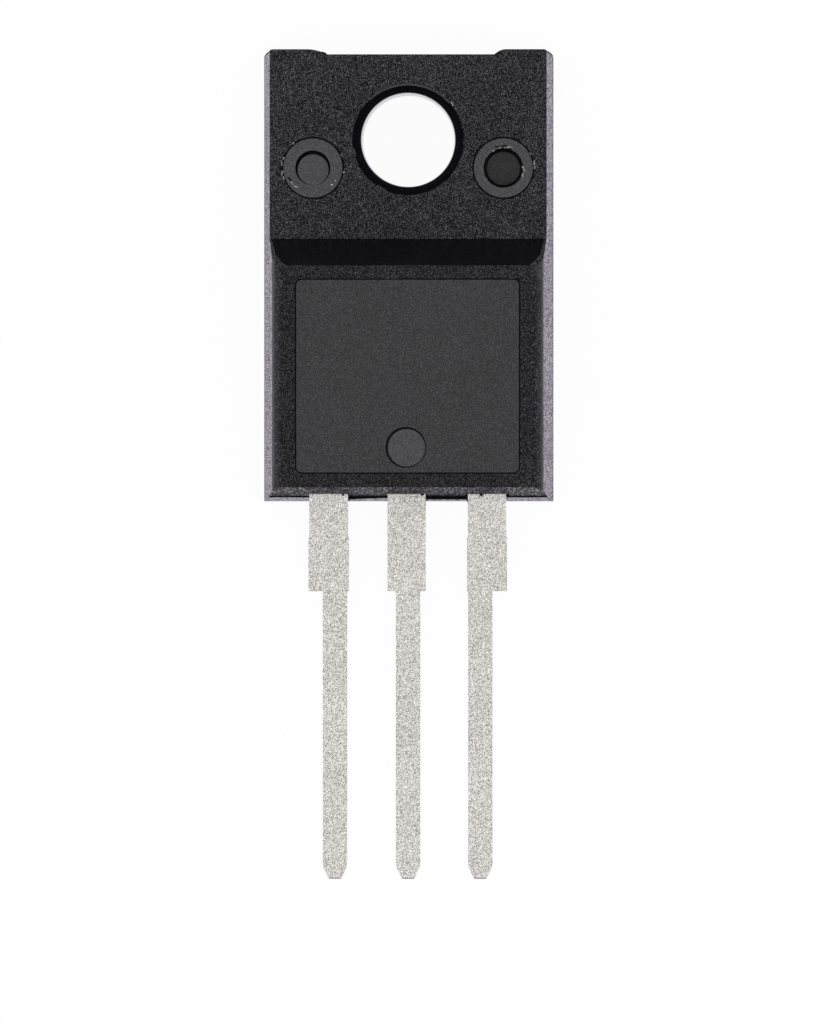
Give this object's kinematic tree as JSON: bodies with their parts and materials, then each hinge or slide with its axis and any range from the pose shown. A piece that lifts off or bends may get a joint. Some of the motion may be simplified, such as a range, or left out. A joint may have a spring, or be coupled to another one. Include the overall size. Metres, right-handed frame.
{
  "type": "power mosfet",
  "caption": "Flat black epoxy power transistor with a screw hole in its thin tab and a row of flat tinned leads; its insulated back cools on a heat sink.",
  "frame": {"origin": "centre of the mounting hole on the flat rear face", "axes": "+Z out of the front face along the mounting hole, +Y towards the top edge and away from the leads, +X to the right seen from the front"},
  "size_m": [0.0102, 0.0293, 0.0045],
  "materials": {
    "moulded_epoxy": "spark-eroded matt black, smooth where the mould's pins and marking panel were",
    "tinned_copper": "matt tin plating on copper",
    "silicon": "polished",
    "solder": "satin",
    "bond_wire": "satin"
  },
  "bodies": {
    "root": {"package_body": "moulded_epoxy", "drain_leadframe": "tinned_copper", "gate_lead": "tinned_copper", "source_lead": "tinned_copper", "silicon_die": "silicon", "die_solder": "solder", "gate_bond_wire": "bond_wire", "source_bond_wire_a": "bond_wire", "source_bond_wire_b": "bond_wire"}
  },
  "joints": []
}
